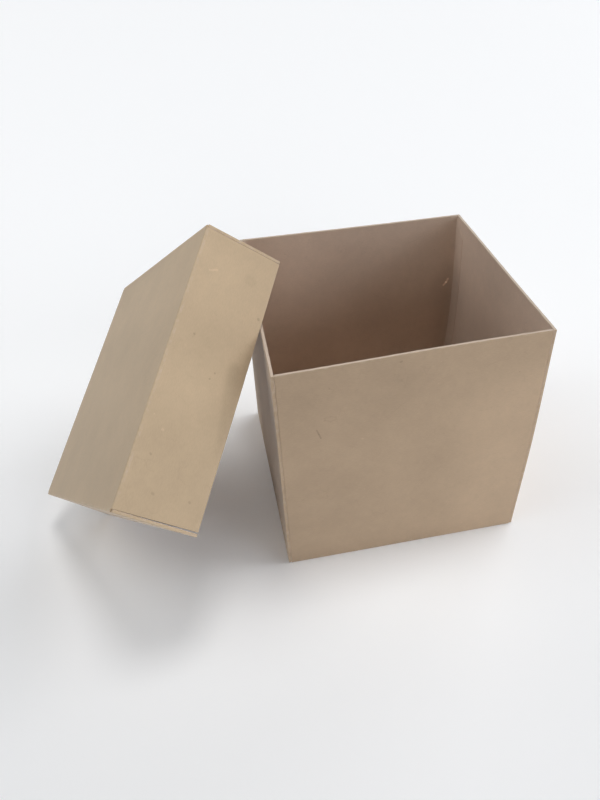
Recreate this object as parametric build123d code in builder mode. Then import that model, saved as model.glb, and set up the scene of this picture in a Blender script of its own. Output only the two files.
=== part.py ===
from build123d import *
from math import cos, radians, sin, tan
import os

# A small gift box folded from stiff brown kraft board, with its lift-off lid taken off.
# The lid leans on the left wall of the box with its open side down and one corner on the floor.
# Millimetres, Z up. The origin is the centre of the underside of the box.

# Board
board = 1.1
glue_line = 0.1

# The board is crushed along its creases, so a fold is sharp inside and almost sharp outside
crease_radius = 0.4

# Box
box_width = 100.0
box_depth = 100.0
box_height = 101.0

# Lid
lid_clearance = 0.2
lid_height = 30.0
lid_spread_angle = 1.0

# Glue flaps at the ends of the front and back walls, of the box and of the lid
flap_length = 10.0
flap_taper_angle = 15.0
flap_relief = 0.6

# Where the lid leans
lean_angle = 53.0
spin_angle = 44.0
foot_y = -6.1
rest_gap = 0.2


def wall_profile(plane, half_width, height, spread):
    """Section through a panel and its two folded-up walls, the first one leaning out by spread."""
    with BuildSketch(plane) as profile:
        with BuildLine():
            Polyline(
                (-half_width - spread, height),
                (-half_width, 0),
                (half_width, 0),
                (half_width, height),
            )
            offset(amount=board, kind=Kind.INTERSECTION, side=Side.LEFT)
        make_face()
        fillet(profile.vertices().group_by(Axis.Y)[0], radius=crease_radius)
    return profile.sketch


def folded_tray(width, depth, height, spread):
    """One sheet folded into a tray, its panel flat on the XY plane and its rim up.

    The left and right walls run the full depth, so their cut ends show at the front and back.
    The front and back walls fit between them and end in glue flaps folded in behind them.
    """
    # Outer face of a flap, measured from the middle of the tray
    flap_face = width / 2 - board - glue_line
    # Where the flat of the front wall ends and its crease to the flap begins
    front_flat = flap_face - crease_radius
    flap_root = depth / 2 - board
    flap_tip = depth / 2 - flap_length
    flap_bottom = board + flap_relief
    flap_drop = (flap_root - flap_tip) * tan(radians(flap_taper_angle))

    with BuildPart() as tray:
        # Panel with the left and right walls
        extrude(wall_profile(Plane.XZ, width / 2, height, spread), amount=depth / 2, both=True)

        # The panel and its side creases stop short of the front and back walls.
        # Past them the left and right walls go on as plain ends, down to the height of the crease.
        for cut_width, cut_height in ((width - 2 * board, board), (width + 2 * board, crease_radius)):
            with BuildSketch():
                with Locations((0, depth / 2), (0, -depth / 2)):
                    Rectangle(cut_width, 2 * board)
            extrude(amount=cut_height, mode=Mode.SUBTRACT)

        # Front and back walls, hinged on the same panel
        extrude(wall_profile(Plane.YZ, depth / 2, height, 0), amount=front_flat, both=True)

        # A crease and a glue flap behind each end of the front and back walls
        for side, end in ((-1, -1), (-1, 1), (1, -1), (1, 1)):
            with BuildSketch(Plane.XY.offset(flap_bottom)) as flap:
                with BuildLine():
                    Polyline(
                        (side * (front_flat - board), end * depth / 2),
                        (side * flap_face, end * depth / 2),
                        (side * flap_face, end * flap_tip),
                    )
                    offset(
                        amount=board,
                        kind=Kind.INTERSECTION,
                        side=Side.RIGHT if side == end else Side.LEFT,
                    )
                make_face()
                crease = flap.vertices().sort_by_distance((side * flap_face, end * depth / 2))[0]
                fillet(crease, radius=crease_radius)
            extrude(amount=height - flap_bottom)

            # The flap tapers towards its free end, above and below
            with BuildSketch(Plane.YZ.offset(side * flap_face)):
                for edge_z, tip_z in ((height, height - flap_drop), (flap_bottom, flap_bottom + flap_drop)):
                    with BuildLine():
                        Polyline(
                            (end * flap_root, edge_z),
                            (end * flap_tip, tip_z),
                            (end * flap_tip, edge_z),
                            close=True,
                        )
                    make_face()
            extrude(amount=-side * board, mode=Mode.SUBTRACT)
    return tray.part


# Box
with BuildPart() as box:
    add(folded_tray(box_width, box_depth, box_height, 0))

# The lid is folded the same way and slips over the box. Its lower wall has sprung out a little.
lid_width = box_width + 2 * (board + lid_clearance)
lid_depth = box_depth + 2 * (board + lid_clearance)
lid_spread = lid_height * tan(radians(lid_spread_angle))

# The open side of the lid lies in a slope that passes over the left wall of the box.
# The lid is turned in that slope so that one corner of its rim, the foot, is on the floor.
lean = radians(lean_angle)
spin = radians(spin_angle)
up_slope = Vector(cos(lean), 0, sin(lean))
along_wall = Vector(0, 1, 0)
lid_x = up_slope * sin(spin) + along_wall * cos(spin)
lid_y = up_slope * cos(spin) - along_wall * sin(spin)
to_rim = lid_x.cross(lid_y)

# Two edges of the rim rest on the top edge of the wall.
# Against a wall that is taller than the lid can reach, its top corner rests on the face instead.
reach = lid_depth * cos(spin) + (lid_width + lid_spread) * sin(spin)
foot_from_wall = min(
    box_height / tan(lean) + rest_gap / sin(lean),
    reach * cos(lean) + rest_gap,
)
foot = Vector(-box_width / 2 - foot_from_wall, foot_y, 0)
panel_centre = foot + lid_x * (lid_width / 2 + lid_spread) + lid_y * (lid_depth / 2) - to_rim * lid_height

with BuildPart(Plane(origin=panel_centre, x_dir=lid_x, z_dir=to_rim)) as lid:
    add(folded_tray(lid_width, lid_depth, lid_height, lid_spread))

os.makedirs("parts", exist_ok=True)
box.part.label = "box"
lid.part.label = "lid"
export_step(box.part, "parts/box.step")
export_step(lid.part, "parts/lid.step")
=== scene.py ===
# %% [markdown]
# # A kraft board gift box with its lid leaning on it
# The real object is two sheets of stiff brown board. Each one is cut, creased and folded into a
# tray: a deep one for the box and a shallow one for the lid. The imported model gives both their
# size and place. This script folds the same two sheets again as finer meshes, lets their walls
# lean and bow as real board does, and gives the board its colour, fibres and cut edges.

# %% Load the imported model
from math import cos, radians, sin, tan

import bmesh
import bpy
from mathutils import Matrix, Quaternion, Vector


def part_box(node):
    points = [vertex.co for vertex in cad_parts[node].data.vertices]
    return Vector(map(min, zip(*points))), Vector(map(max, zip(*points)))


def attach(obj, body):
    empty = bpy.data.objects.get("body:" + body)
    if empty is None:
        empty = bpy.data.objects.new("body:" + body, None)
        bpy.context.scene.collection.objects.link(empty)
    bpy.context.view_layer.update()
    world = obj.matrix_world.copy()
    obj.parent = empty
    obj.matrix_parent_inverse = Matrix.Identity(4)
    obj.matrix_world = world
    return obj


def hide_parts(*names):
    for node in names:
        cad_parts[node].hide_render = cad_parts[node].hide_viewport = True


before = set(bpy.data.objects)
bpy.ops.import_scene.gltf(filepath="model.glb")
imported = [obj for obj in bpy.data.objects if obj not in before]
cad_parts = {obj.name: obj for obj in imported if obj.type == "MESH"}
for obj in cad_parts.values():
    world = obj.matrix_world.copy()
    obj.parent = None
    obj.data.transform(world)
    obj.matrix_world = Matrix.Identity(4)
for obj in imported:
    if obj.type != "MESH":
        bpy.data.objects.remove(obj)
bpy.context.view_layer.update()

MM = 0.001

# %% [markdown]
# ## Camera
# The picture was taken from in front and above, about 30 cm away, with the camera turned
# slightly anticlockwise. A place, an aim point and a roll are easier to read and to change than
# three rotation angles. The lens follows from the focal length in pixels, because the sensor
# width belongs to the long side of the picture.

# %% Place the camera
IMAGE_HEIGHT = 800
FOCAL_PIXELS = 658.1
SENSOR = 36.0
NEAREST_SEEN = 10 * MM
camera_place = Vector((-63.9, -220.8, 231.5)) * MM
camera_aim = Vector((-26.7, 55.4, 0.0)) * MM
camera_roll = radians(3.56)

bpy.ops.object.camera_add(location=camera_place)
camera = bpy.context.active_object
camera.rotation_mode = "QUATERNION"
level_view = (camera_aim - camera_place).to_track_quat("-Z", "Y")
camera.rotation_quaternion = level_view @ Quaternion((0, 0, 1), -camera_roll)
camera.data.sensor_width = SENSOR
camera.data.lens = SENSOR * FOCAL_PIXELS / IMAGE_HEIGHT
camera.data.clip_start = NEAREST_SEEN
bpy.context.scene.camera = camera
print("lens, mm:", round(camera.data.lens, 2))

# %% [markdown]
# ## Small tools for node trees
# A material is a tree of nodes, and so is the light of the room. By hand, one would add nodes and
# draw wires between them. A few helpers keep that to one line each: one adds a node with its
# settings, one links a socket or sets it, and the others calculate with numbers, places and colours.

# %% Helpers for node trees
def link(tree, source, target):
    """Joins an output socket to an input socket."""
    tree.links.new(source, target)


def add_node(tree, kind, **settings):
    """A new node with its settings and, by name, its unlinked inputs."""
    node = tree.nodes.new(kind)
    for name, value in settings.items():
        if hasattr(node, name):
            setattr(node, name, value)
        else:
            node.inputs[name].default_value = value
    return node


def put(tree, socket, value):
    """Links a socket to an output, or sets it to a constant."""
    if isinstance(value, bpy.types.NodeSocket):
        tree.links.new(value, socket)
    else:
        socket.default_value = value


def calculate(tree, operation, *values, clamp=False):
    """A math node on one, two or three values."""
    node = add_node(tree, "ShaderNodeMath", operation=operation, use_clamp=clamp)
    for socket, value in zip(node.inputs, values):
        put(tree, socket, value)
    return node.outputs[0]


def vector(tree, operation, *values):
    """A vector math node. Gives its number for a dot product or a length."""
    node = add_node(tree, "ShaderNodeVectorMath", operation=operation)
    for socket, value in zip(node.inputs, values):
        put(tree, socket, value)
    return node.outputs["Value" if operation in ("DOT_PRODUCT", "LENGTH") else "Vector"]


def remap(tree, value, low, high, to_low=0.0, to_high=1.0, smooth=False):
    """Maps low..high to another range, and stays inside it."""
    node = add_node(tree, "ShaderNodeMapRange", interpolation_type="SMOOTHSTEP" if smooth else "LINEAR")
    names = ("Value", "From Min", "From Max", "To Min", "To Max")
    for name, number in zip(names, (value, low, high, to_low, to_high)):
        put(tree, node.inputs[name], number)
    return node.outputs["Result"]


def scaled(tree, colour, factor):
    """A colour made lighter or darker by a factor."""
    node = add_node(tree, "ShaderNodeVectorMath", operation="SCALE")
    put(tree, node.inputs[0], colour)
    put(tree, node.inputs["Scale"], factor)
    return node.outputs["Vector"]


def mixed(tree, share, first, second):
    """A colour between two colours."""
    node = add_node(tree, "ShaderNodeMix", data_type="RGBA")
    put(tree, node.inputs["Factor"], share)
    ends = [socket for socket in node.inputs if socket.type == "RGBA"]
    for socket, colour in zip(ends, (first, second)):
        put(tree, socket, colour)
    return next(socket for socket in node.outputs if socket.type == "RGBA")


# %% [markdown]
# ## Stage
# The box stands on a white table in a small photo studio. Wide soft lamps give nearly all the
# light: one well up on each side, a smaller one nearly overhead that draws the soft edge of the lid's
# shadow, and a ring of four low ones. A lamp is given by how high it stands, where it stands, how
# wide it looks, how strong it is and its tint, which is nearly white for all of them. The picture
# was exposed for a white table, so the table also glows a little for the camera, and only for it.
# The glow grows from the front of the table to the back. Past the table the camera sees a white
# backdrop, which gives no light.

# %% The table
FLOOR_SIZE = 8.0
FLOOR_WHITE = (0.91, 0.91, 0.91, 1)
FLOOR_ROUGHNESS = 0.8
FLOOR_SPECULAR = 0.2
FLOOR_GLOW = 0.13
GLOW_FROM_Y, GLOW_TO_Y = -120 * MM, 60 * MM
WHITE = (1, 1, 1, 1)

bpy.ops.mesh.primitive_plane_add(size=FLOOR_SIZE)
floor = bpy.context.active_object
floor.name = "floor"
table_white = bpy.data.materials.new("table_white")
table_white.use_nodes = True
tree = table_white.node_tree
shader = tree.nodes["Principled BSDF"]
shader.inputs["Base Color"].default_value = FLOOR_WHITE
shader.inputs["Roughness"].default_value = FLOOR_ROUGHNESS
shader.inputs["Specular IOR Level"].default_value = FLOOR_SPECULAR
shader.inputs["Emission Color"].default_value = WHITE
split = add_node(tree, "ShaderNodeSeparateXYZ")
link(tree, add_node(tree, "ShaderNodeTexCoord").outputs["Object"], split.inputs["Vector"])
glow = remap(tree, split.outputs["Y"], GLOW_FROM_Y, GLOW_TO_Y, 0.0, FLOOR_GLOW, smooth=True)
seen = add_node(tree, "ShaderNodeLightPath").outputs["Is Camera Ray"]
link(tree, calculate(tree, "MULTIPLY", glow, seen), shader.inputs["Emission Strength"])
floor.data.materials.append(table_white)
print("table, m:", FLOOR_SIZE)

# %% Lamps
# Degrees above the table, degrees round from the right, width in degrees, strength, colour
LAMPS = {
    "lamp_right": (38, 0, 40, 1.16, (0.985, 1.0, 1.02)),
    "lamp_left": (62, 180, 40, 0.62, (0.95, 1.0, 1.04)),
    "lamp_overhead": (79, 30, 18, 0.84, (1.0, 0.99, 0.98)),
    "lamp_low_left": (16, 180, 30, 0.80, (1.0, 1.0, 1.0)),
    "lamp_low_front": (16, 270, 30, 0.48, (1.0, 1.0, 1.0)),
    "lamp_low_front_right": (16, 315, 30, 0.56, (0.97, 0.99, 1.06)),
    "lamp_low_back_right": (16, 45, 30, 0.62, (0.97, 0.99, 1.06)),
}

for name, (height, turn, width, strength, tint) in LAMPS.items():
    up, round_table = radians(height), radians(turn)
    place = Vector((cos(up) * cos(round_table), cos(up) * sin(round_table), sin(up)))
    bpy.ops.object.light_add(type="SUN", location=place)
    lamp = bpy.context.active_object
    lamp.name = name
    lamp.rotation_mode = "QUATERNION"
    lamp.rotation_quaternion = place.to_track_quat("Z", "Y")
    lamp.data.angle = radians(width)
    lamp.data.energy = strength
    lamp.data.color = tint
    print(name, "at", [round(v, 2) for v in place])

# %% Room and backdrop
ROOM_COLOUR = (0.9, 0.97, 1.1, 1)
ROOM_STRENGTH = 0.035
BACKDROP_WHITE = (0.93, 0.93, 0.93, 1)

world = bpy.data.worlds.new("white_room")
world.use_nodes = True
tree = world.node_tree
room = tree.nodes["Background"]
room.inputs["Color"].default_value = ROOM_COLOUR
room.inputs["Strength"].default_value = ROOM_STRENGTH
backdrop = add_node(tree, "ShaderNodeBackground", Color=BACKDROP_WHITE)
either = add_node(tree, "ShaderNodeMixShader")
link(tree, add_node(tree, "ShaderNodeLightPath").outputs["Is Camera Ray"], either.inputs["Fac"])
link(tree, room.outputs["Background"], either.inputs[1])
link(tree, backdrop.outputs["Background"], either.inputs[2])
link(tree, either.outputs["Shader"], tree.nodes["World Output"].inputs["Surface"])
bpy.context.scene.world = world
bpy.context.scene.view_settings.view_transform = "Standard"
print("room light:", ROOM_STRENGTH)

# %% [markdown]
# ## The board and its sizes
# The same few sizes give the box and the lid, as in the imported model. The box's own come from the
# frame, so the new mesh always fits it.

# %% Sizes of the sheet
BOARD = 1.1 * MM
GLUE_LINE = 0.04 * MM
# Crushed folds round the panel, and the sharper upright folds of the flaps
CREASE_RADIUS = 0.4 * MM
CORNER_RADIUS = 0.1 * MM
CREASE_DROP = 0.5 * MM
# A flap, how far it sinks below the rim just past its fold, and how fast it gets narrower
FLAP = 10 * MM
FLAP_SHOULDER = 0.3 * MM
FLAP_SUNK = 1.0 * MM
FLAP_RELIEF = 0.6 * MM
FLAP_TOP_SLOPE = tan(radians(40))
FLAP_FOOT_SLOPE = tan(radians(15))
FLAP_STEPS = 4
# The share of its thickness that is left past the fold, and again after each step
FLAP_SKIVED = 0.2
FLAP_PRESSED = 0.7
# Faces of the mesh are about this big, and points nearer than a touch are in the same place
CELL = 2.5 * MM
TOUCH = 0.01 * MM
# A face looks one way if its normal goes at least this far that way
FACING = 0.9

box_low, box_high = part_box("box")
BOX_WIDTH, BOX_DEPTH, BOX_HEIGHT = box_high - box_low
LID_CLEARANCE = 0.2 * MM
LID_WIDTH = BOX_WIDTH + 2 * (BOARD + LID_CLEARANCE)
LID_DEPTH = BOX_DEPTH + 2 * (BOARD + LID_CLEARANCE)
LID_HEIGHT = 30 * MM
LID_SPREAD_ANGLE = radians(1.0)
LID_SPREAD = LID_HEIGHT * tan(LID_SPREAD_ANGLE)
print("box, mm:", [round(v / MM, 1) for v in (BOX_WIDTH, BOX_DEPTH, BOX_HEIGHT)])

# %% [markdown]
# ## Shaping by place
# By hand, one would click the faces to pull. In a script they are found by where they are and
# which way they face. A few helpers keep that readable: one opens a piece for editing, two select
# by place, and one pulls what is selected along a list of steps. Many short steps leave a grid of
# small square faces, which can bow later.

# %% Helpers for shaping by place
LEFT, RIGHT = Vector((-1, 0, 0)), Vector((1, 0, 0))
FRONT, BACK = Vector((0, -1, 0)), Vector((0, 1, 0))
UP = Vector((0, 0, 1))


def edit(piece):
    """Opens one piece in edit mode with nothing selected."""
    bpy.ops.object.select_all(action="DESELECT")
    piece.select_set(True)
    bpy.context.view_layer.objects.active = piece
    bpy.ops.object.mode_set(mode="EDIT")
    bpy.ops.mesh.select_all(action="DESELECT")


def select_edges(piece, test):
    """Selects the edges that pass the test."""
    bpy.ops.mesh.select_mode(type="EDGE")
    bpy.ops.mesh.select_all(action="DESELECT")
    mesh = bmesh.from_edit_mesh(piece.data)
    for edge in mesh.edges:
        if test(edge):
            edge.select_set(True)
    bmesh.update_edit_mesh(piece.data)


def select_faces(piece, test):
    """Selects the faces whose middle and normal pass the test."""
    bpy.ops.mesh.select_mode(type="FACE")
    bpy.ops.mesh.select_all(action="DESELECT")
    mesh = bmesh.from_edit_mesh(piece.data)
    mesh.normal_update()
    for face in mesh.faces:
        if test(face.calc_center_median(), face.normal):
            face.select_set(True)
    bmesh.update_edit_mesh(piece.data)


def pull(steps):
    """Extrudes what is selected along a list of steps."""
    for step in steps:
        bpy.ops.mesh.extrude_region_move(TRANSFORM_OT_translate={"value": step})


def straight(way, length):
    """Steps of about one cell that go a length in one direction."""
    count = max(1, round(length / CELL))
    return [way * (length / count)] * count


def near(value, target):
    """Says whether two lengths are the same to a hundredth of a millimetre."""
    return abs(value - target) < TOUCH


def face_of_flap(width):
    """How far the outer face of a glue flap is from the middle of its tray."""
    return width / 2 - BOARD - GLUE_LINE


# %% [markdown]
# ## The flat blank
# The sheet starts flat, as it does in the factory. The panel is a grid, and strips one board wide
# are pulled out round it: they are the footprints of the walls. Past the panel there is nothing at
# the four corners, because the real sheet is cut out there. Last, the blank gets its thickness.

# %% Lay the flat blank
def flat_blank(name, width, depth):
    """The panel of a tray and the footprints of its walls, one board thick."""
    flap_face = face_of_flap(width)
    cells = round(width / CELL)
    bpy.ops.object.select_all(action="DESELECT")
    bpy.ops.mesh.primitive_grid_add(x_subdivisions=cells, y_subdivisions=cells, size=1)
    piece = bpy.context.active_object
    piece.name = name
    edit(piece)
    bpy.ops.mesh.select_all(action="SELECT")
    bpy.ops.transform.resize(value=(2 * (flap_face - BOARD), depth - 2 * BOARD, 1))
    for way in (LEFT, RIGHT):
        select_edges(
            piece, lambda edge: all(near(end.co.dot(way), flap_face - BOARD) for end in edge.verts)
        )
        pull([way * BOARD, way * GLUE_LINE, way * BOARD])
    for way in (FRONT, BACK):
        select_edges(
            piece,
            lambda edge: all(
                near(end.co.dot(way), depth / 2 - BOARD) and abs(end.co.x) < flap_face + TOUCH
                for end in edge.verts
            ),
        )
        pull([way * BOARD])
    bpy.ops.mesh.select_all(action="SELECT")
    pull([UP * CREASE_DROP, UP * (BOARD - CREASE_DROP)])
    bpy.ops.mesh.select_all(action="SELECT")
    bpy.ops.mesh.normals_make_consistent(inside=False)
    print(name, "blank faces:", len(bmesh.from_edit_mesh(piece.data).faces))
    return piece


# %% [markdown]
# ## Walls and flaps
# On the real sheet the left and right walls are glued over the flaps of the other two and run the
# full depth, so their cut ends show at the corners with a thin seam beside them. Extruding the
# strips of the blank upwards folds the walls up in effect, with a sharp fold inside. The ends of
# the side walls and the flaps are then pulled out of the faces where they belong. A flap is skived
# and pressed thin so that it doesn't show under the wall. It sinks below the rim and gets narrower
# towards its free end, so it is scaled a little after each step. That is why hardly anything of the
# flaps shows in the finished box.

# %% Raise the walls
def raise_walls(piece, width, depth, height, spread):
    """All four walls. The left one leans out by spread at its top."""
    rise = height - BOARD
    for way, reach, lean in (
        (LEFT, width / 2, spread),
        (RIGHT, width / 2, 0),
        (FRONT, depth / 2, 0),
        (BACK, depth / 2, 0),
    ):
        select_faces(
            piece,
            lambda middle, normal: normal.z > FACING
            and near(middle.z, BOARD)
            and middle.dot(way) > reach - BOARD,
        )
        slope = UP + way * (lean / rise)
        pull([slope * FLAP_RELIEF, *straight(slope, rise - FLAP_RELIEF)])
    for way in (FRONT, BACK):
        select_faces(
            piece,
            lambda middle, normal: normal.dot(way) > FACING
            and near(middle.dot(way), depth / 2 - BOARD)
            and abs(middle.x) > width / 2 - BOARD
            and middle.z > CREASE_DROP,
        )
        pull([way * BOARD])
    print(piece.name, "walls are up,", round(height / MM, 1), "mm high")


# %% Grow the flaps
def grow_flaps(piece, width, depth, height):
    """A tapered glue flap behind each end of the front and back walls."""
    flap_face = face_of_flap(width)
    low = BOARD + FLAP_RELIEF
    step = (FLAP - BOARD - FLAP_SHOULDER) / FLAP_STEPS
    drop, rise = step * FLAP_TOP_SLOPE, step * FLAP_FOOT_SLOPE
    for side in (LEFT, RIGHT):
        for end in (FRONT, BACK):
            select_faces(
                piece,
                lambda middle, normal: normal.dot(end) < -FACING
                and near(middle.dot(end), depth / 2 - BOARD)
                and flap_face - BOARD < middle.dot(side) < flap_face
                and middle.z > low,
            )
            foot, tall = low, height - low
            pull([-end * FLAP_SHOULDER])
            fixed = side * flap_face + UP * foot
            bpy.ops.transform.resize(
                value=(FLAP_SKIVED, 1, (tall - FLAP_SUNK) / tall), center_override=fixed
            )
            tall -= FLAP_SUNK
            for _ in range(FLAP_STEPS):
                pull([-end * step])
                fixed = side * flap_face + UP * (foot + tall * rise / (drop + rise))
                bpy.ops.transform.resize(
                    value=(FLAP_PRESSED, 1, (tall - drop - rise) / tall), center_override=fixed
                )
                foot, tall = foot + rise, tall - drop - rise
    print(piece.name, "flaps end", round(tall / MM, 1), "mm tall")


# %% [markdown]
# ## Which face of the sheet
# A sheet has an outside, an inside and cut edges, and they don't look alike. Each face of the mesh
# is given its finish by where it is and which way it points, before any edge is rounded, because
# the rounding then takes over the finish beside it. A number on each point also says how deep in
# the sheet it is, from 0 outside to 1 inside, so that a cut edge can show its plies. A second number
# is 1 along the folds and the rim, where hands rub the board, and 0 one cell further in. Only the
# rims count as cut edges: the cut ends of the side walls are rubbed smooth and look like the outside.

# %% Sort the faces of the sheet
# The last finish is painted shade: the faces of the flaps that lie against the walls are made dark
OUTSIDE, INSIDE, CUT_EDGE, CREASE, FLAP_SHADE = range(5)


def finish_at(middle, normal, width, depth, height):
    """The finish of the face with this middle and normal, in a tray that isn't bowed yet."""
    across, along = abs(middle.x), abs(middle.y)
    inward_x = -normal.x if middle.x > 0 else normal.x
    inward_y = -normal.y if middle.y > 0 else normal.y
    in_flap = (
        across < face_of_flap(width)
        and along < depth / 2 - BOARD - TOUCH
        and middle.z > BOARD + TOUCH
    )
    if normal.z > FACING and middle.z > height - TOUCH:
        return CUT_EDGE
    if in_flap:
        # A flap face against its wall gets the finish painted dark as shade for the seam at the corner
        return FLAP_SHADE if inward_x < -FACING else INSIDE
    if inward_x > FACING or inward_y > FACING or (normal.z > FACING and near(middle.z, BOARD)):
        return INSIDE
    return OUTSIDE


def sort_faces(piece, width, depth, height):
    """Gives every face its finish and every point its depth in the sheet."""
    flap_face = face_of_flap(width)
    mesh = bmesh.from_edit_mesh(piece.data)
    mesh.normal_update()
    deep = mesh.verts.layers.float.new("through_board")
    rubbed = mesh.verts.layers.float.new("rubbed")
    for face in mesh.faces:
        face.material_index = finish_at(face.calc_center_median(), face.normal, width, depth, height)
    for point in mesh.verts:
        across, along = abs(point.co.x), abs(point.co.y)
        outer = (
            across > width / 2 - TOUCH
            or (near(along, depth / 2) and across < flap_face + TOUCH)
            or near(across, flap_face)
            or point.co.z < TOUCH
        )
        point[deep] = 0.0 if outer else 1.0
        sides = (across > width / 2 - BOARD - TOUCH, along > depth / 2 - TOUCH, point.co.z < BOARD)
        point[rubbed] = 1.0 if sum(sides) > 1 or point.co.z > height - TOUCH else 0.0
    bmesh.update_edit_mesh(piece.data)
    print(piece.name, "cut edge faces:", sum(face.material_index == CUT_EDGE for face in mesh.faces))


# %% [markdown]
# ## Creases and cut edges
# The board is crushed along a crease, so its outside turns in a radius of under half a millimetre.
# A bevel of three segments on those edges gives that. Cut edges only lose their sharpness, by a
# bevel of one small segment. The rims first get a slight waviness, as a steel rule leaves it.

# %% Round the creases and ease the cut edges
CREASE_SEGMENTS = 3
CUT_EASE = 0.12 * MM
CUT_ANGLE = radians(60)
RIM_WAVE = 0.07 * MM
SMOOTH_ANGLE = radians(40)


def on_one_line(edge, lines):
    """Says whether both ends of an edge lie on the same one of some lines."""
    return any(all(line(end.co) for end in edge.verts) for line in lines)


def round_creases(piece, width, depth):
    """Bevels the folds under the walls and the upright folds of the flaps."""
    flap_face = face_of_flap(width)
    under_walls = (
        lambda co: near(abs(co.x), width / 2) and near(co.z, 0),
        lambda co: near(abs(co.y), depth / 2) and near(co.z, 0),
    )
    upright = (lambda co: near(abs(co.y), depth / 2) and near(abs(co.x), flap_face),)
    for radius, folds in ((CREASE_RADIUS, under_walls), (CORNER_RADIUS, upright)):
        select_edges(piece, lambda edge: on_one_line(edge, folds))
        bpy.ops.mesh.bevel(offset=radius, segments=CREASE_SEGMENTS, affect="EDGES", material=CREASE)


def wave_rim(piece, height, seed):
    """Moves the points of the rim a little, at random but the same each time."""
    bpy.ops.mesh.select_mode(type="VERT")
    bpy.ops.mesh.select_all(action="DESELECT")
    mesh = bmesh.from_edit_mesh(piece.data)
    for point in mesh.verts:
        if near(point.co.z, height):
            point.select_set(True)
    bmesh.update_edit_mesh(piece.data)
    bpy.ops.transform.vertex_random(offset=RIM_WAVE, uniform=0.0, normal=0.0, seed=seed)


def ease_cut_edges(piece, depth):
    """Bevels the sharp edges that are left, above the creases."""

    def is_cut(edge):
        if len(edge.link_faces) != 2 or edge.calc_face_angle_signed() < CUT_ANGLE:
            return False
        low = min(end.co.z for end in edge.verts)
        top = max(end.co.z for end in edge.verts)
        beside_walls = depth / 2 - BOARD + TOUCH
        in_blank = top < BOARD + TOUCH and all(abs(end.co.y) < beside_walls for end in edge.verts)
        return low > CREASE_DROP - TOUCH and not in_blank

    select_edges(piece, is_cut)
    bpy.ops.mesh.bevel(offset=CUT_EASE, segments=1, affect="EDGES", clamp_overlap=False)


def fold_tray(name, width, depth, height, spread, seed):
    """One sheet folded into a tray, with its panel on the floor."""
    piece = flat_blank(name, width, depth)
    raise_walls(piece, width, depth, height, spread)
    grow_flaps(piece, width, depth, height)
    sort_faces(piece, width, depth, height)
    round_creases(piece, width, depth)
    wave_rim(piece, height, seed)
    ease_cut_edges(piece, depth)
    bpy.ops.mesh.select_all(action="SELECT")
    bpy.ops.mesh.normals_make_consistent(inside=False)
    bpy.ops.uv.cube_project(cube_size=1.0, correct_aspect=False)
    bpy.ops.object.mode_set(mode="OBJECT")
    piece.data.uv_layers.active.name = "flat"
    bpy.ops.object.shade_smooth_by_angle(angle=SMOOTH_ANGLE)
    print(name, "faces:", len(piece.data.polygons))
    return piece


box_sheet = fold_tray("box_sheet", BOX_WIDTH, BOX_DEPTH, BOX_HEIGHT, 0, seed=3)
lid_sheet = fold_tray("lid_sheet", LID_WIDTH, LID_DEPTH, LID_HEIGHT, LID_SPREAD, seed=8)

# %% [markdown]
# ## Walls that lean and bow
# No folded box is quite square. A lattice is a cage of a few points round the piece: moving its
# corners leans the walls, and moving the points between them bows the walls, without touching the
# many small faces one by one. The shifts are what the picture shows, most of them well under a
# millimetre. A point that has none of its own goes halfway with the corners beside it.

# %% Shift the corners and the middles of the walls
# Keys are the side in X, Y and Z, as -1, 0 or 1. Values are millimetres.
BOX_CORNERS = {
    (-1, -1, -1): (0.15, -0.25, 0),
    (1, -1, -1): (-0.55, 0.55, 0),
    (1, 1, -1): (0.6, 0, 0),
    (-1, 1, -1): (-0.75, 0, 0),
    (-1, -1, 1): (-0.3, -1.3, -0.2),
    (1, -1, 1): (-0.1, 1.45, 0.25),
    (1, 1, 1): (1.15, -0.8, -0.1),
    (-1, 1, 1): (0.15, 0.25, 0.1),
}
BOX_BOWS = {
    (0, -1, 1): (0, 0.45, 0),
    (-1, 0, 1): (0.3, 0, 0),
    (0, 1, 1): (0, -0.3, 0),
    (1, 0, 1): (-0.1, 0, 0),
    (1, -1, 0): (0.75, 0, 0),
    (1, 1, 0): (1.8, 0, 0),
}
LID_CORNERS = {
    (1, 1, -1): (0, 0, -0.1),
    (1, -1, -1): (0.05, 0.15, 0.6),
    (-1, -1, -1): (0.45, -0.05, -0.3),
    (-1, 1, -1): (-0.05, -0.05, -0.2),
    (1, 1, 1): (0.05, 0.1, 0.1),
    (-1, 1, 1): (0.15, 0, 0.05),
    (1, -1, 1): (0, 0, 0),
    (-1, -1, 1): (-0.5, 0, 0.05),
}
LID_BOWS = {
    (0, 1, 1): (0, 0.35, 0),
}


def cage_round(piece, size, centre):
    """A lattice of three levels each way round a piece."""
    bpy.ops.object.select_all(action="DESELECT")
    bpy.ops.object.add(type="LATTICE", location=centre)
    cage = bpy.context.active_object
    cage.name = piece.name + "_cage"
    cage.data.points_u = cage.data.points_v = cage.data.points_w = 3
    for axis in ("u", "v", "w"):
        setattr(cage.data, "interpolation_type_" + axis, "KEY_CARDINAL")
    cage.scale = size
    return cage


def shift_of(place, corners, bows):
    """The mean shift of the corners that a cage point lies between, and its own bow."""
    beside = [
        Vector(shift)
        for corner, shift in corners.items()
        if all(own in (0, its) for own, its in zip(place, corner))
    ]
    return sum(beside, Vector((0, 0, 0))) / len(beside) + Vector(bows.get(place, (0, 0, 0)))


def bow(piece, size, corners, bows):
    """Bows a piece with a cage, and takes the cage away again."""
    cage = cage_round(piece, size, (0, 0, size.z / 2))
    for point in cage.data.points:
        place = tuple(round(2 * share) for share in point.co)
        shift = shift_of(place, corners, bows) * MM
        point.co_deform = [co + move / side for co, move, side in zip(point.co, shift, size)]
    piece.modifiers.new("bow", "LATTICE").object = cage
    apply_modifiers(piece)
    bpy.data.objects.remove(cage)
    print("bowed", piece.name)


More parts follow.
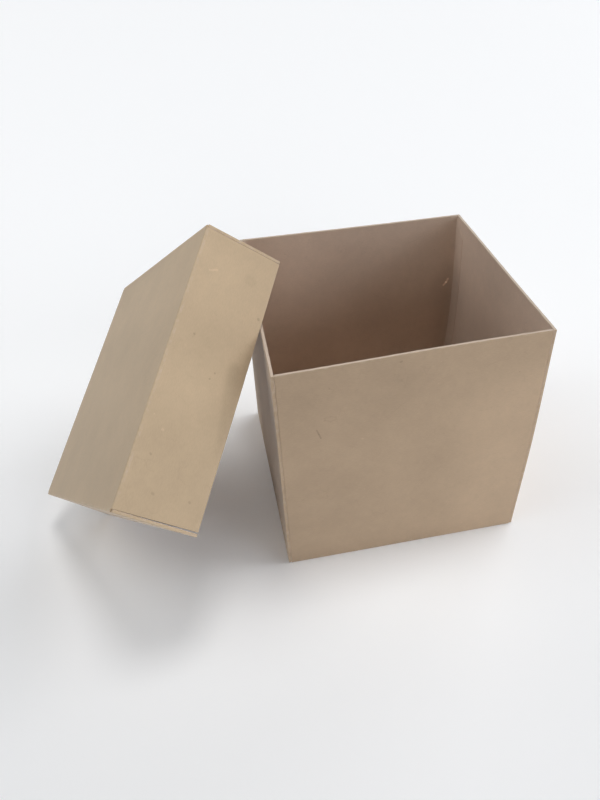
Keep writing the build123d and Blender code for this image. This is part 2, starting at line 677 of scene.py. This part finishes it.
def apply_modifiers(piece):
    """Applies every modifier of a piece in order."""
    bpy.ops.object.select_all(action="DESELECT")
    piece.select_set(True)
    bpy.context.view_layer.objects.active = piece
    for modifier in list(piece.modifiers):
        bpy.ops.object.modifier_apply(modifier=modifier.name)


bow(box_sheet, Vector((BOX_WIDTH, BOX_DEPTH, BOX_HEIGHT)), BOX_CORNERS, BOX_BOWS)
bow(lid_sheet, Vector((LID_WIDTH, LID_DEPTH, LID_HEIGHT)), LID_CORNERS, LID_BOWS)

# %% [markdown]
# ## Board colour
# Kraft board is one brown, but never flat: soft clouds of lighter and darker pulp, fibres along the
# sheet, a few hairs and specks. One shader group holds all of that, and each finish of the sheet
# uses it with its own brown. The pattern lies on a UV map in real metres, laid flat on each panel,
# so it has the same size and direction on the leaning lid as on the box.

# %% A node group for kraft pulp
# Scales are cells or waves per metre.
CLOUD_SCALE, BLOTCH_SCALE, GRAIN_SCALE = 45.0, 260.0, 3500.0
FIBRE_SCALE = (700.0, 2600.0, 1.0)
HAIR_SCALE, HAIR_WIDTH, HAIR_BEND = 170.0, 0.035, 0.6
HAIR_PATCH_SCALE, HAIR_PATCHES = 0.8 * HAIR_SCALE, (0.56, 0.64)
SPECK_SCALE, SPECK_SIZE, SPECK_CORE = 230.0, 0.09, 0.3
DARK_SPECKS_ABOVE, PALE_SPECKS_BELOW = 0.93, 0.06
# Nearly all of a noise lies in this range.
NOISE_RANGE = (0.3, 0.7)
# How much each part lightens or darkens the board, up to its full strength
CLOUD_SHADE, BLOTCH_SHADE, FIBRE_SHADE, GRAIN_SHADE = 0.045, 0.025, 0.03, 0.02
HAIR_SHADE, DARK_SPECK_SHADE, PALE_SPECK_SHADE = -0.045, -0.2, 0.12
ROUGHNESS_RANGE = (0.78, 0.9)
FIBRE_HEIGHT, GRAIN_HEIGHT, HAIR_HEIGHT = 0.6, 0.3, 0.5


def new_group(name, inputs, outputs):
    """A shader node group with its sockets, and its two end nodes."""
    group = bpy.data.node_groups.new(name, "ShaderNodeTree")
    for in_out, sockets in (("INPUT", inputs), ("OUTPUT", outputs)):
        for label, kind in sockets.items():
            group.interface.new_socket(label, in_out=in_out, socket_type="NodeSocket" + kind)
    return group, group.nodes.new("NodeGroupInput").outputs, group.nodes.new("NodeGroupOutput").inputs


def noise(tree, place, scale, detail):
    """One noise value, about 0.5 on average."""
    node = add_node(tree, "ShaderNodeTexNoise", Scale=scale, Detail=detail)
    link(tree, place, node.inputs["Vector"])
    return node.outputs["Fac"]


def pulp_specks(group, place):
    """Masks of the dark and the pale specks."""
    cells = add_node(group, "ShaderNodeTexVoronoi", feature="F1", Scale=SPECK_SCALE)
    link(group, place, cells.inputs["Vector"])
    core = SPECK_CORE * SPECK_SIZE
    dot = remap(group, cells.outputs["Distance"], core, SPECK_SIZE, 1.0, 0.0, smooth=True)
    chance = add_node(group, "ShaderNodeSeparateColor")
    link(group, cells.outputs["Color"], chance.inputs["Color"])
    is_dark = calculate(group, "GREATER_THAN", chance.outputs["Red"], DARK_SPECKS_ABOVE)
    is_pale = calculate(group, "LESS_THAN", chance.outputs["Red"], PALE_SPECKS_BELOW)
    return calculate(group, "MULTIPLY", dot, is_dark), calculate(group, "MULTIPLY", dot, is_pale)


def pulp_hairs(group, place):
    """A mask of short bent hairs: the borders of bent cells, kept in patches only."""
    bend = add_node(group, "ShaderNodeTexNoise", Scale=HAIR_SCALE, Detail=2.0)
    link(group, place, bend.inputs["Vector"])
    bent = vector(group, "ADD", place, scaled(group, bend.outputs["Color"], HAIR_BEND / HAIR_SCALE))
    cells = add_node(group, "ShaderNodeTexVoronoi", feature="DISTANCE_TO_EDGE", Scale=HAIR_SCALE)
    link(group, bent, cells.inputs["Vector"])
    border = remap(group, cells.outputs["Distance"], 0.0, HAIR_WIDTH, 1.0, 0.0, smooth=True)
    patches = remap(group, noise(group, place, HAIR_PATCH_SCALE, 1.0), *HAIR_PATCHES, smooth=True)
    return calculate(group, "MULTIPLY", border, patches)


def kraft_group():
    """Clouds, fibres, hairs and specks as one colour, one roughness and one height."""
    group, given, result = new_group(
        "kraft_pulp",
        {"Vector": "Vector", "Brown": "Color"},
        {"Color": "Color", "Roughness": "Float", "Height": "Float"},
    )
    place = given["Vector"]
    clouds = noise(group, place, CLOUD_SCALE, 3.0)
    blotches = noise(group, place, BLOTCH_SCALE, 3.0)
    grain = noise(group, place, GRAIN_SCALE, 2.0)
    fibres = noise(group, vector(group, "MULTIPLY", place, FIBRE_SCALE), 1.0, 2.0)
    hairs = pulp_hairs(group, place)
    dark, pale = pulp_specks(group, place)

    shade = 1.0
    for part, strength in (
        (clouds, CLOUD_SHADE), (blotches, BLOTCH_SHADE), (fibres, FIBRE_SHADE), (grain, GRAIN_SHADE),
    ):
        factor = remap(group, part, *NOISE_RANGE, 1 - strength, 1 + strength)
        shade = calculate(group, "MULTIPLY", shade, factor)
    for part, strength in ((hairs, HAIR_SHADE), (dark, DARK_SPECK_SHADE), (pale, PALE_SPECK_SHADE)):
        shade = calculate(group, "MULTIPLY", shade, calculate(group, "MULTIPLY_ADD", part, strength, 1.0))
    link(group, scaled(group, given["Brown"], shade), result["Color"])
    link(group, remap(group, blotches, *NOISE_RANGE, *ROUGHNESS_RANGE), result["Roughness"])
    grain_height = calculate(group, "MULTIPLY", grain, GRAIN_HEIGHT)
    height = calculate(group, "MULTIPLY_ADD", fibres, FIBRE_HEIGHT, grain_height)
    link(group, calculate(group, "MULTIPLY_ADD", hairs, HAIR_HEIGHT, height), result["Height"])
    print("kraft pulp nodes:", len(group.nodes))
    return group


pulp = kraft_group()

# %% [markdown]
# ## Rubbed edges
# Hands and the table rub the folds and the rims of a box, and the brown gets paler there, but only
# in patches. The mesh already says where an edge is, so the group only has to break it up with a
# noise and mix the two browns. Every finish of the sheet uses it.

# %% A node group for rubbed edges
RUB_PATCH_SCALE = 400.0
RUB_PATCHES = (0.45, 0.75)
RUB_STRENGTH = 0.7
RUB_REACH = (0.6, 1.0)


def rubbed_group():
    """The brown of the board, and in patches along its edges a paler one."""
    group, given, result = new_group(
        "rubbed_edges",
        {"Vector": "Vector", "Rubbed": "Float", "Brown": "Color", "Worn Brown": "Color"},
        {"Color": "Color"},
    )
    patches = noise(group, given["Vector"], RUB_PATCH_SCALE, 3.0)
    patches = remap(group, patches, *RUB_PATCHES, 0.0, RUB_STRENGTH)
    reach = remap(group, given["Rubbed"], *RUB_REACH, smooth=True)
    worn = calculate(group, "MULTIPLY", reach, patches)
    link(group, mixed(group, worn, given["Brown"], given["Worn Brown"]), result["Color"])
    print("rubbed edge nodes:", len(group.nodes))
    return group


rubbed_edges = rubbed_group()

# %% [markdown]
# ## Single marks and painted shades
# Some marks sit at one place only: a loop of fibre and a dark hair on the front of the box, specks on the
# lid, a scuff in the back corner. Each one is a stroke between two or more points, which shades the board
# near it. The same stroke, made a few centimetres wide and very weak, paints light and shade on a wall: a
# broad lighter or darker patch where the wall is lit more or less. The stroke is measured in the plane of
# the wall, so a wall may bow by a part of a millimetre and keep its marks.

# %% A node group for one stroke
STROKE_CORE = 0.3
STROKE_FLATNESS = 0.9


def stroke_group():
    """Multiplies a shade near the line from one point to another."""
    group, given, result = new_group(
        "stroke",
        {
            "Vector": "Vector", "From": "Vector", "To": "Vector", "Across": "Vector",
            "Width": "Float", "Strength": "Float", "Shade": "Float",
        },
        {"Shade": "Float"},
    )
    away = vector(group, "SUBTRACT", given["Vector"], given["From"])
    off_plane = vector(group, "DOT_PRODUCT", away, given["Across"])
    taken_back = calculate(group, "MULTIPLY", off_plane, STROKE_FLATNESS)
    away = vector(group, "SUBTRACT", away, scaled(group, given["Across"], taken_back))
    along = vector(group, "SUBTRACT", given["To"], given["From"])
    reach = calculate(
        group, "DIVIDE", vector(group, "DOT_PRODUCT", away, along),
        vector(group, "DOT_PRODUCT", along, along), clamp=True,
    )
    gap = vector(group, "LENGTH", vector(group, "SUBTRACT", away, scaled(group, along, reach)))
    inner = calculate(group, "MULTIPLY", given["Width"], STROKE_CORE)
    mask = remap(group, gap, inner, given["Width"], 1.0, 0.0, smooth=True)
    factor = calculate(group, "MULTIPLY_ADD", mask, given["Strength"], 1.0)
    link(group, calculate(group, "MULTIPLY", given["Shade"], factor), result["Shade"])
    print("stroke nodes:", len(group.nodes))
    return group


stroke = stroke_group()

# %% Where the marks and painted shades are
# Each mark or painted shade: its points in millimetres, how far it reaches, and how much it lightens or
# darkens.
BOX_FRONT = (0, -1, 0)
FIBRE_LOOP = (
    (-28.4, -50.2, 77.6), (-30.5, -50.2, 76.9), (-32.7, -50.2, 77.9), (-32.6, -50.2, 78.9),
    (-30.5, -50.2, 79.2), (-28.7, -50.2, 78.6), (-28.4, -50.2, 77.6),
)
DARK_HAIR = ((-35.7, -50.2, 73.9), (-35.0, -50.2, 71.8), (-34.3, -50.2, 69.7))
BOX_MARKS_AND_SHADES = (
    (FIBRE_LOOP, 0.5, -0.045),
    (DARK_HAIR, 0.42, -0.22),
    (((-18.9, -50.2, 66.0), (-18.6, -50.2, 66.0)), 0.5, 0.12),
    (((-5.9, -50.1, 98.1), (-5.5, -50.1, 98.2)), 0.5, -0.2),
    # Painted shade: a broad, weak darkening over the upper left of the front
    (((-46.0, -50.1, 99.0), (-20.0, -50.2, 92.0)), 30.0, -0.07),
    # Painted light: a broad lightening low on the right of the front
    (((47.0, -50.5, 2.0), (47.0, -50.2, 60.0)), 40.0, 0.14),
    # Painted shade: a broad, weak darkening low on the left of the front, beside the lid
    (((-43.0, -50.5, 8.0), (-38.0, -50.3, 35.0)), 26.0, -0.04),
)
LID_WALL = (0.433, -0.695, 0.574)
LID_MARKS_AND_SHADES = (
    (((-64.7, -14.2, 122.3), (-62.0, -13.3, 121.4)), 0.5, 0.12),
    (((-50.3, -20.5, 103.8), (-50.2, -20.7, 103.6)), 0.7, -0.2),
    (((-73.0, -30.9, 108.3), (-72.9, -31.1, 108.1)), 0.5, -0.2),
    (((-70.2, -40.0, 95.2), (-70.1, -40.0, 95.2)), 0.5, -0.2),
    (((-68.2, -38.3, 95.9), (-68.1, -38.3, 95.9)), 0.5, -0.2),
    (((-92.0, -61.8, 85.3), (-91.9, -62.0, 85.1)), 0.5, -0.18),
    (((-93.2, -70.4, 75.9), (-93.0, -70.5, 75.7)), 0.7, -0.12),
    (((-82.5, -69.9, 68.4), (-82.4, -70.0, 68.2)), 0.6, -0.15),
    (((-87.4, -55.6, 89.3), (-87.2, -55.7, 89.1)), 0.6, 0.14),
    (((-51.6, -12.0, 115.3), (-50.4, -12.2, 114.2)), 2.6, -0.06),
    (((-61.6, -35.7, 94.1), (-68.9, -53.2, 78.3)), 3.5, -0.08),
    # Painted light: the lid's wall lighter towards its top
    (((-68.0, -14.0, 124.0), (-56.0, -14.0, 117.0)), 24.0, 0.06),
    # Painted shade: the lid's wall darker low down towards its front corner
    (((-95.0, -66.0, 82.0), (-80.0, -66.0, 72.0)), 28.0, -0.06),
)
BOX_BACK = (0, 1, 0)
SCUFF = ((46.8, 48.6, 65.2), (47.9, 48.6, 66.6), (48.7, 48.6, 68.4))
INSIDE_MARKS_AND_SHADE = (
    (SCUFF, 0.75, 0.6),
    # Painted shadow: darker low down on the inner right wall and in the back right corner, a shadow that
    # the lamps don't cast
    (((60.0, 48.6, 0.0), (60.0, 48.6, 62.0)), 24.0, -0.16),
)


def marked_and_shaded(tree, colour, marks_and_shades, across):
    """A colour with every stroke of some marks and painted shades drawn on it."""
    place = add_node(tree, "ShaderNodeTexCoord").outputs["Object"]
    shade = 1.0
    for points, width, strength in marks_and_shades:
        for first, second in zip(points, points[1:]):
            node = add_node(tree, "ShaderNodeGroup", node_tree=stroke)
            values = (place, Vector(first) * MM, Vector(second) * MM, across, width * MM, strength, shade)
            for socket, value in zip(node.inputs, values):
                put(tree, socket, value)
            shade = node.outputs["Shade"]
    return scaled(tree, colour, shade)


print("marks:", len(BOX_MARKS_AND_SHADES), "on the box,", len(LID_MARKS_AND_SHADES), "on the lid,", len(INSIDE_MARKS_AND_SHADE), "inside")

# %% [markdown]
# ## Finishes of the sheet
# The outside of the box, the outside of the lid and the inside are one board. Their browns differ a
# little, and that is painted light: the lid's is a lighter, paler copy of the box's, and the inside's is
# lighter still. The rims show a pale core between two darker liners. The faces of the flaps that lie
# against the walls are painted dark as shade, which makes the thin seam at a corner look dark. One
# function makes them all: a matt board with the pulp pattern, a fine bump and a little fuzz.

# %% One finish of the sheet
BUMP_STRENGTH, BUMP_HEIGHT = 0.35, 0.06 * MM
BOARD_SPECULAR = 0.3
FUZZ, FUZZ_ROUGHNESS = 0.25, 0.4
# Distance from the middle of the sheet, as a share of its thickness, where the core turns to liner
CORE_EDGE = (0.25, 0.45)


def board_material(name, brown, worn_brown, marks_and_shades=(), across=BOX_FRONT, core=None, fuzz=FUZZ):
    """A matt board finish with the pulp pattern, its rubbed edges, and its marks and painted shades."""
    material = bpy.data.materials.new(name)
    material.use_nodes = True
    tree = material.node_tree
    shader = tree.nodes["Principled BSDF"]
    flat = add_node(tree, "ShaderNodeUVMap", uv_map="flat").outputs["UV"]
    edges = add_node(tree, "ShaderNodeGroup", node_tree=rubbed_edges)
    rubbed = add_node(tree, "ShaderNodeAttribute", attribute_name="rubbed").outputs["Fac"]
    for socket, value in zip(edges.inputs, (flat, rubbed, brown, worn_brown)):
        put(tree, socket, value)
    base = edges.outputs["Color"]
    if core:
        depth = add_node(tree, "ShaderNodeAttribute", attribute_name="through_board").outputs["Fac"]
        from_middle = calculate(tree, "ABSOLUTE", calculate(tree, "SUBTRACT", depth, 0.5))
        base = mixed(tree, remap(tree, from_middle, *CORE_EDGE, smooth=True), core, base)
    pattern = add_node(tree, "ShaderNodeGroup", node_tree=pulp)
    put(tree, pattern.inputs["Vector"], flat)
    put(tree, pattern.inputs["Brown"], base)
    colour = pattern.outputs["Color"]
    if marks_and_shades:
        colour = marked_and_shaded(tree, colour, marks_and_shades, across)
    link(tree, colour, shader.inputs["Base Color"])
    link(tree, pattern.outputs["Roughness"], shader.inputs["Roughness"])
    bump = add_node(tree, "ShaderNodeBump", Strength=BUMP_STRENGTH, Distance=BUMP_HEIGHT)
    link(tree, pattern.outputs["Height"], bump.inputs["Height"])
    link(tree, bump.outputs["Normal"], shader.inputs["Normal"])
    shader.inputs["Specular IOR Level"].default_value = BOARD_SPECULAR
    shader.inputs["Sheen Weight"].default_value = fuzz
    shader.inputs["Sheen Roughness"].default_value = FUZZ_ROUGHNESS
    return material


# %% The browns
# Box, lid and inside are one board. The lid's lighter, paler brown and the inside's lighter one are
# painted light: copies of the box's brown for parts that are lit differently
BOX_BROWN = (0.49, 0.36, 0.243, 1)
LID_BROWN = (0.53, 0.40, 0.262, 1)
INSIDE_BROWN = (0.61, 0.475, 0.375, 1)
WORN_BROWN = (0.57, 0.45, 0.34, 1)
LINER_BROWN = (0.50, 0.39, 0.29, 1)
CORE_BROWN = (0.58, 0.47, 0.37, 1)
# Painted shade: the flap faces behind the walls, dark so that the seams at the corners look shaded
FLAP_SHADE_BROWN = (0.16, 0.11, 0.075, 1)

inside = board_material("kraft_inside", INSIDE_BROWN, WORN_BROWN, INSIDE_MARKS_AND_SHADE, BOX_BACK)
cut_edge = board_material("kraft_cut_edge", LINER_BROWN, LINER_BROWN, core=CORE_BROWN)
# The flap faces against the walls, painted dark as shade in the corner seams
flap_shade_finish = board_material("kraft_flap_shade", FLAP_SHADE_BROWN, FLAP_SHADE_BROWN, fuzz=0.0)
for piece, brown, marks_and_shades, across in (
    (box_sheet, BOX_BROWN, BOX_MARKS_AND_SHADES, BOX_FRONT),
    (lid_sheet, LID_BROWN, LID_MARKS_AND_SHADES, LID_WALL),
):
    outside = board_material("kraft_" + piece.name, brown, WORN_BROWN, marks_and_shades, across)
    crease = board_material("kraft_crease_" + piece.name, brown, WORN_BROWN)
    for finish in (outside, inside, cut_edge, crease, flap_shade_finish):
        piece.data.materials.append(finish)
    print(piece.name, "finishes:", [slot.name for slot in piece.data.materials])

# %% [markdown]
# ## The lid leans on the box
# The rim of the lid lies in a slope that passes over the left wall of the box, and the lid is
# turned in that slope until one corner of its rim, the foot, is on the table. Those two turns give
# the three directions of the lid, and with the place of its foot they give one matrix.

# %% Lean the lid
LEAN = radians(53.0)
SPIN = radians(44.0)
FOOT_Y = -6.1 * MM
REST_GAP = 0.2 * MM

up_slope = Vector((cos(LEAN), 0, sin(LEAN)))
lid_x = up_slope * sin(SPIN) + BACK * cos(SPIN)
lid_y = up_slope * cos(SPIN) + FRONT * sin(SPIN)
to_rim = lid_x.cross(lid_y)
foot = Vector((-BOX_WIDTH / 2 - REST_GAP / sin(LEAN) - BOX_HEIGHT / tan(LEAN), FOOT_Y, 0))
panel_centre = foot + lid_x * (LID_WIDTH / 2 + LID_SPREAD) + lid_y * (LID_DEPTH / 2) - to_rim * LID_HEIGHT
lid_place = Matrix((lid_x, lid_y, to_rim)).transposed().to_4x4()
lid_place.translation = panel_centre
lid_sheet.matrix_world = lid_place
bpy.ops.object.select_all(action="DESELECT")
lid_sheet.select_set(True)
bpy.context.view_layer.objects.active = lid_sheet
bpy.ops.object.transform_apply(location=True, rotation=True, scale=True)
print("lid rests at", [round(v / MM, 1) for v in panel_centre])

# %% [markdown]
# ## Hand the pieces over
# Nothing here moves on its own, so both sheets ride on the one body of the model. Each takes the place of
# its plainer twin in the imported model.

# %% Ride and replace
for piece, node in ((box_sheet, "box"), (lid_sheet, "lid")):
    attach(piece, "root")
    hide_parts(node)
    print(piece.name, "rides on root in place of", node)
